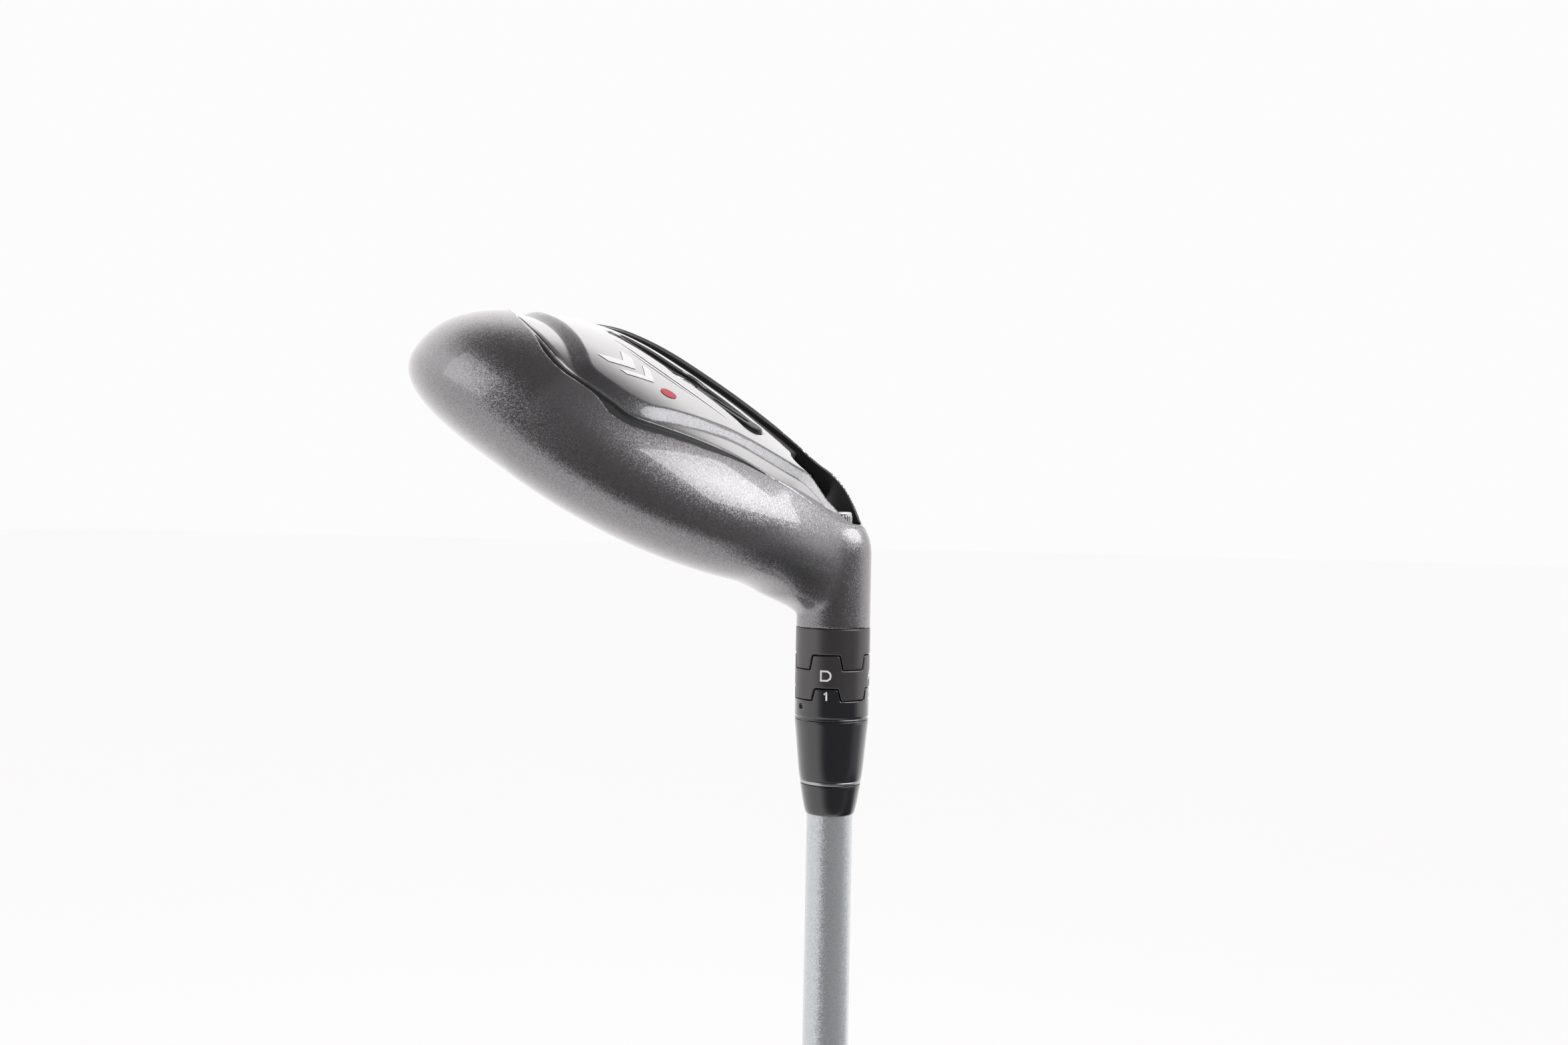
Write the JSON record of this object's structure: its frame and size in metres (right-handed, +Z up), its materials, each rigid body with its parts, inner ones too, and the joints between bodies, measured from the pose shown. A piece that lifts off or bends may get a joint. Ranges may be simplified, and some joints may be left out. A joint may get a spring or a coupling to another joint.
{
  "type": "hybrid golf club",
  "caption": "Right-handed adjustable hybrid golf club: hollow painted head with a polished sole, toothed hosel ring and sleeve, tapered shaft and rubber grip.",
  "frame": {"origin": "centre of the flat end of the grip cap, on the shaft axis", "axes": "+Z up the shaft axis from the grip to the head, which is on top; +X from the shaft towards the toe; -Y is the target side that the face looks to, +Y the rear of the head"},
  "size_m": [0.1029, 0.063, 1.0488],
  "materials": {
    "painted_casting": "gunmetal metallic paint under gloss clear coat; the sole is polished black",
    "face_steel": "fine milled and blasted steel with cut score lines",
    "dark_satin_metal": "dark grey satin anodised finish with white inlaid letters",
    "black_gloss": "glossy black with bright edge lines",
    "elastomer": "matte black elastomer",
    "dark_tungsten": "dark satin",
    "screw_steel": "bright machined steel",
    "spring_steel": "plain spring steel",
    "trim_silver": "bright trim ring",
    "shaft_silver": "light silver gloss paint over graphite composite",
    "cork_plug": "cork coloured plug",
    "brass_weight": "plain brass",
    "tape_paper": "cream two-sided tape",
    "grip_rubber": "matte black rubber with a moulded texture"
  },
  "bodies": {
    "shaft_assembly": {"shaft": "shaft_silver", "shaft_sleeve": "black_gloss", "ferrule": "black_gloss", "ferrule_trim": "trim_silver", "tip_plug": "cork_plug", "tip_weight": "brass_weight", "grip_tape": "tape_paper", "grip": "grip_rubber", "grip_cap": "grip_rubber"},
    "head": {"head_body": "painted_casting", "crown_shell": "painted_casting", "face_plate": "face_steel", "hosel_collar": "dark_satin_metal", "channel_insert": "elastomer", "hosel_screw_washer": "screw_steel", "weight_thread_insert": "screw_steel"},
    "hosel_screw_body": {"hosel_screw": "screw_steel", "hosel_screw_clip": "spring_steel"},
    "ring": {"hosel_ring": "dark_satin_metal"},
    "weight": {"weight_bar": "dark_tungsten"},
    "weight_screw_body": {"weight_screw": "screw_steel", "weight_screw_clip": "spring_steel"}
  },
  "joints": [
    {"name": "head_lift", "type": "slide", "parent": "shaft_assembly", "child": "head", "axis": [0, 0, 1], "range_m": [0, 0.0064]},
    {"name": "hosel_screw_turn", "type": "hinge", "parent": "head", "child": "hosel_screw_body", "pos_m": [0, 0, 1.003], "axis": [0, 0, 1], "range_deg": [0, 2880.1]},
    {"name": "ring_lift", "type": "slide", "parent": "shaft_assembly", "child": "ring", "axis": [0, 0, 1], "range_m": [0, 0.0032]},
    {"name": "weight_lift", "type": "slide", "parent": "head", "child": "weight", "axis": [-0.515, 0, 0.8572], "range_m": [0, 0.0049]},
    {"name": "weight_screw_turn", "type": "hinge", "parent": "weight", "child": "weight_screw_body", "pos_m": [0.03098, 0.007, 1.03356], "axis": [-0.515, 0, 0.8572], "range_deg": [0, 2520.1]}
  ],
  "couplings": [
    {"joint": "hosel_screw_turn", "follows": "head_lift", "rad_per_m": 7854},
    {"joint": "ring_lift", "follows": "head_lift", "ratio": 0.5},
    {"joint": "weight_screw_turn", "follows": "weight_lift", "rad_per_m": 8976}
  ]
}
